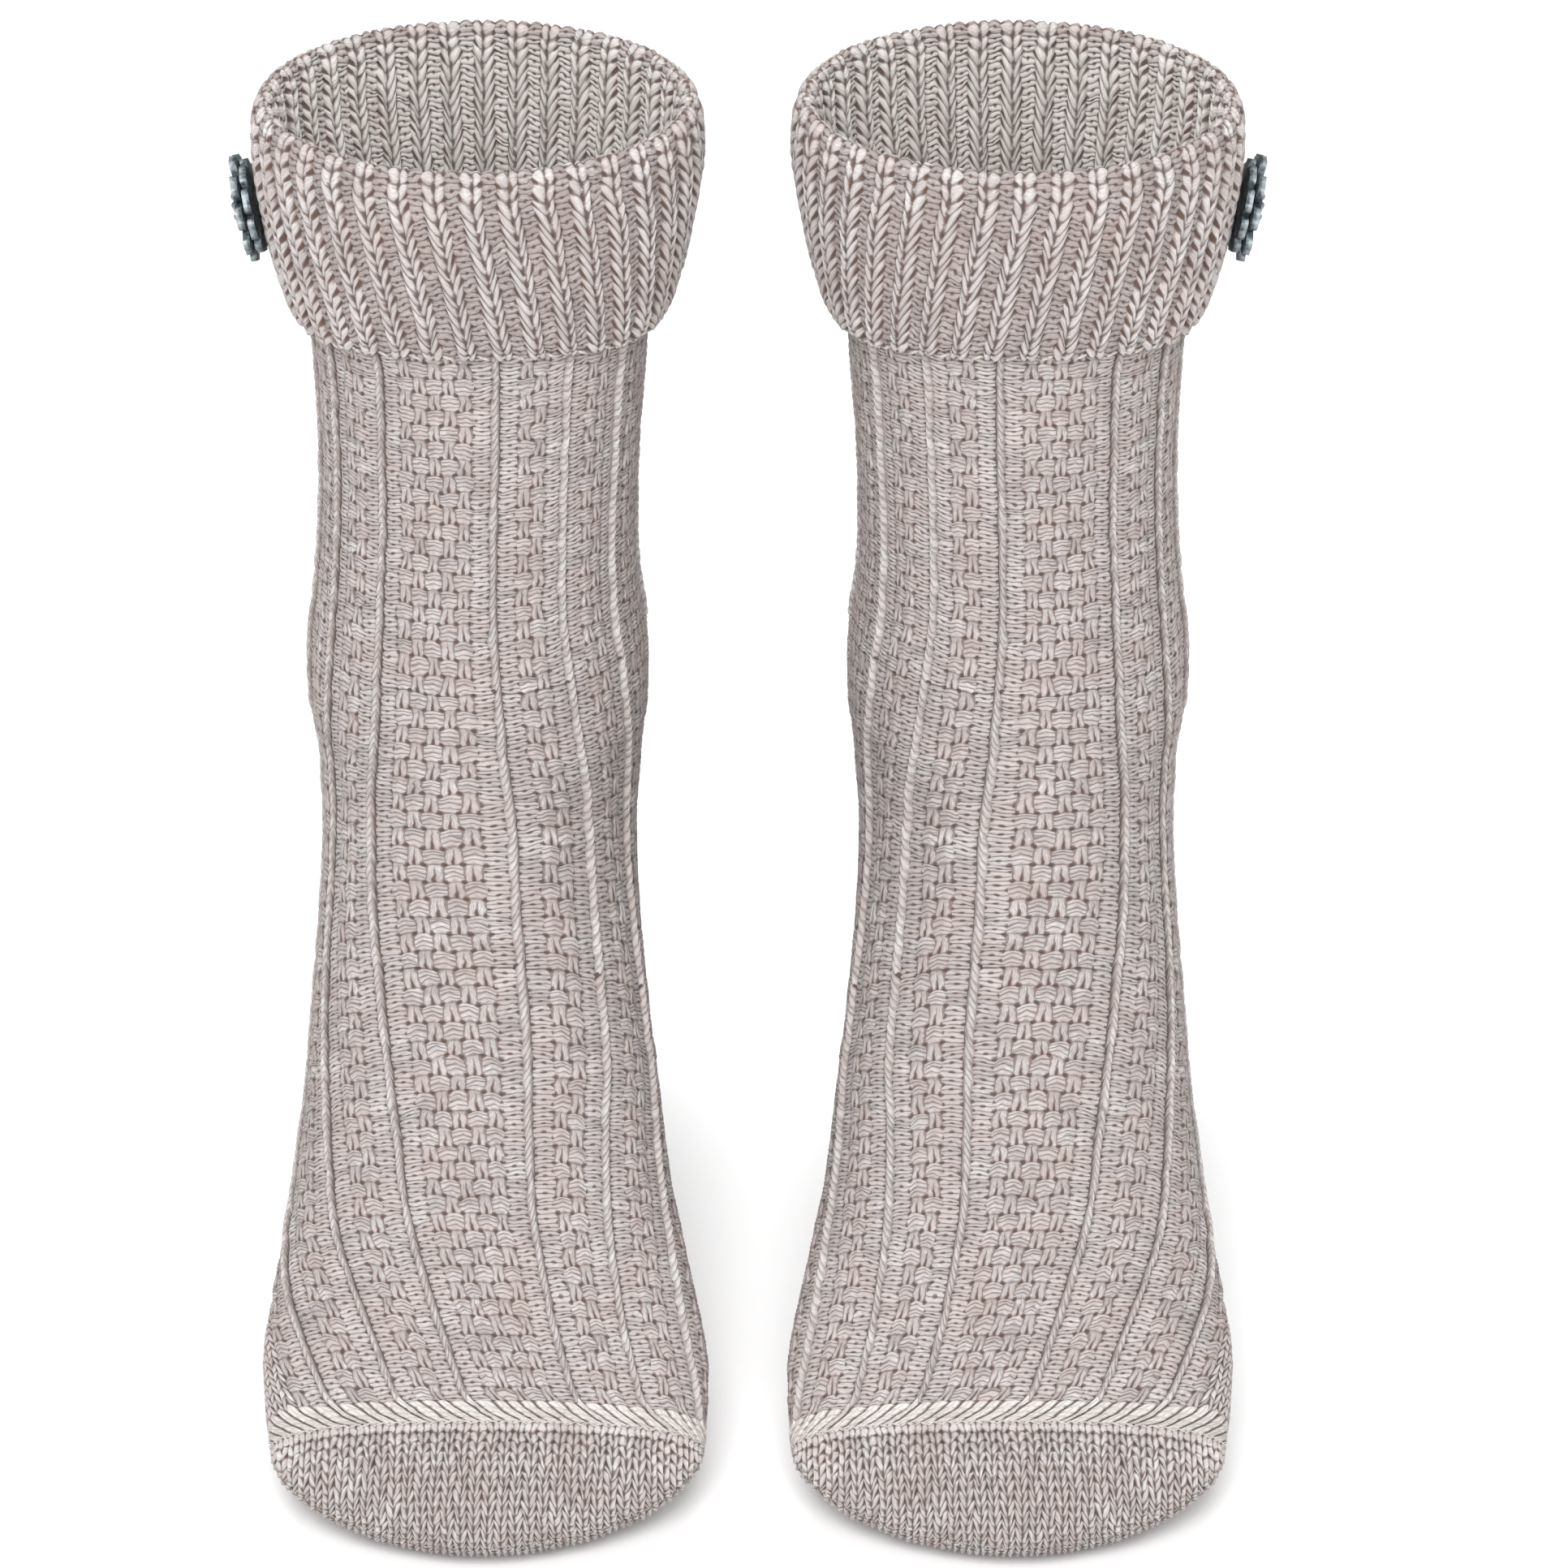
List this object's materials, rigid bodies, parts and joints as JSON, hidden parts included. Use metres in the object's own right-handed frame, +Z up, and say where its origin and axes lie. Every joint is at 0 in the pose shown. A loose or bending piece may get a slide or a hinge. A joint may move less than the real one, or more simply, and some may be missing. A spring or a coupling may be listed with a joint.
{
  "type": "pair of knit socks",
  "caption": "Pair of thick knit socks with turned ribbed cuffs, raised ridges down the leg and instep, and a metal flower on each cuff, filled out as worn.",
  "frame": {"origin": "centre of the right sock's leg opening, level with the top of its rolled rim", "axes": "+Z up along the legs, which stand upright, -Y towards the toes, +X from the right sock towards the left one"},
  "size_m": [0.2328, 0.2354, 0.2835],
  "materials": {
    "knit": "soft matt melange cotton yarn, greige with a pink cast, in a thick knit",
    "flower_metal": "antique pewter, dark in the hollows and rubbed bright on the edges"
  },
  "bodies": {
    "root": {"right_cuff": "knit", "right_leg": "knit", "right_foot": "knit", "right_toe": "knit", "right_flower": "flower_metal", "left_cuff": "knit", "left_leg": "knit", "left_foot": "knit", "left_toe": "knit", "left_flower": "flower_metal"}
  },
  "joints": []
}
